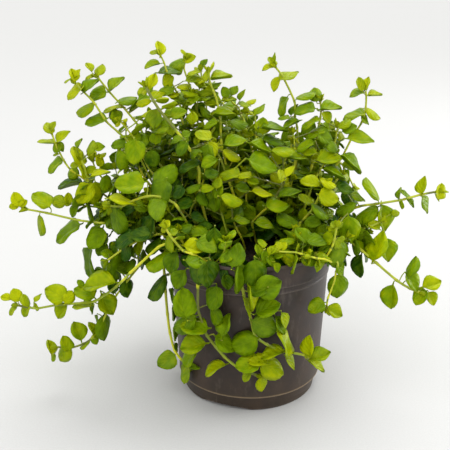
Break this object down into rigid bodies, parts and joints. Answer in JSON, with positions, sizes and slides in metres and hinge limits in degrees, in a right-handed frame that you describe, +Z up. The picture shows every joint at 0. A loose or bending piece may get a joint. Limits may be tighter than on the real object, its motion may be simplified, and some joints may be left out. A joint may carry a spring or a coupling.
{
  "type": "creeping jenny in a pot",
  "caption": "Bushy creeping jenny with round paired green leaves on arching and trailing stems, growing from compost in a dark round plastic nursery pot",
  "frame": {"origin": "centre of the flat underside of the pot, on the surface that it stands on", "axes": "+Z up along the pot's axis, -Y toward the pictured front, +X to the right seen from the front"},
  "size_m": [0.269, 0.1892, 0.2163],
  "materials": {
    "pot_plastic": "matt dark grey-brown moulded plastic, a little dusty",
    "compost": "moist dark peaty compost, whose density is close to light wood",
    "young_green": "soft yellow-green young leaves, slightly glossy",
    "leaf_green": "soft mid-green leaves, slightly glossy"
  },
  "bodies": {
    "root": {"pot": "pot_plastic", "compost": "compost", "top_left_shoot_1": "young_green", "top_left_shoot_2": "young_green", "top_left_shoot_3": "young_green", "middle_shoot_1": "young_green", "top_shoot_1": "young_green", "top_shoot_2": "young_green", "top_shoot_3": "young_green", "top_shoot_4": "young_green", "top_shoot_5": "young_green", "top_shoot_6": "young_green", "top_right_shoot_1": "young_green", "top_right_shoot_2": "young_green", "top_right_shoot_3": "young_green", "top_right_shoot_4": "young_green", "top_right_shoot_5": "young_green", "right_shoot_1": "leaf_green", "right_shoot_2": "leaf_green", "right_shoot_3": "leaf_green", "left_shoot_1": "leaf_green", "left_shoot_2": "leaf_green", "left_shoot_3": "leaf_green", "left_shoot_4": "leaf_green", "left_shoot_5": "leaf_green", "left_shoot_6": "leaf_green", "left_shoot_7": "leaf_green", "left_shoot_8": "leaf_green", "front_left_shoot_1": "leaf_green", "middle_shoot_2": "young_green", "middle_shoot_3": "young_green", "middle_shoot_4": "young_green", "front_right_shoot_1": "leaf_green", "front_right_shoot_2": "leaf_green", "front_right_shoot_3": "leaf_green", "trailing_left_shoot": "leaf_green", "trailing_front_shoot_1": "leaf_green", "trailing_front_shoot_2": "leaf_green", "trailing_front_shoot_3": "leaf_green", "trailing_right_shoot": "leaf_green", "middle_shoot_5": "young_green", "middle_shoot_6": "young_green", "middle_shoot_7": "young_green", "middle_shoot_8": "young_green", "middle_shoot_9": "young_green", "right_shoot_4": "leaf_green", "right_shoot_5": "leaf_green", "inner_left_shoot_1": "young_green", "inner_left_shoot_2": "leaf_green", "back_shoot_1": "young_green", "back_shoot_2": "young_green", "back_shoot_3": "young_green", "back_shoot_4": "young_green", "back_shoot_5": "young_green", "back_shoot_6": "young_green", "back_shoot_7": "young_green", "back_shoot_8": "young_green", "back_shoot_9": "young_green", "back_shoot_10": "young_green", "back_shoot_11": "young_green"}
  },
  "joints": []
}
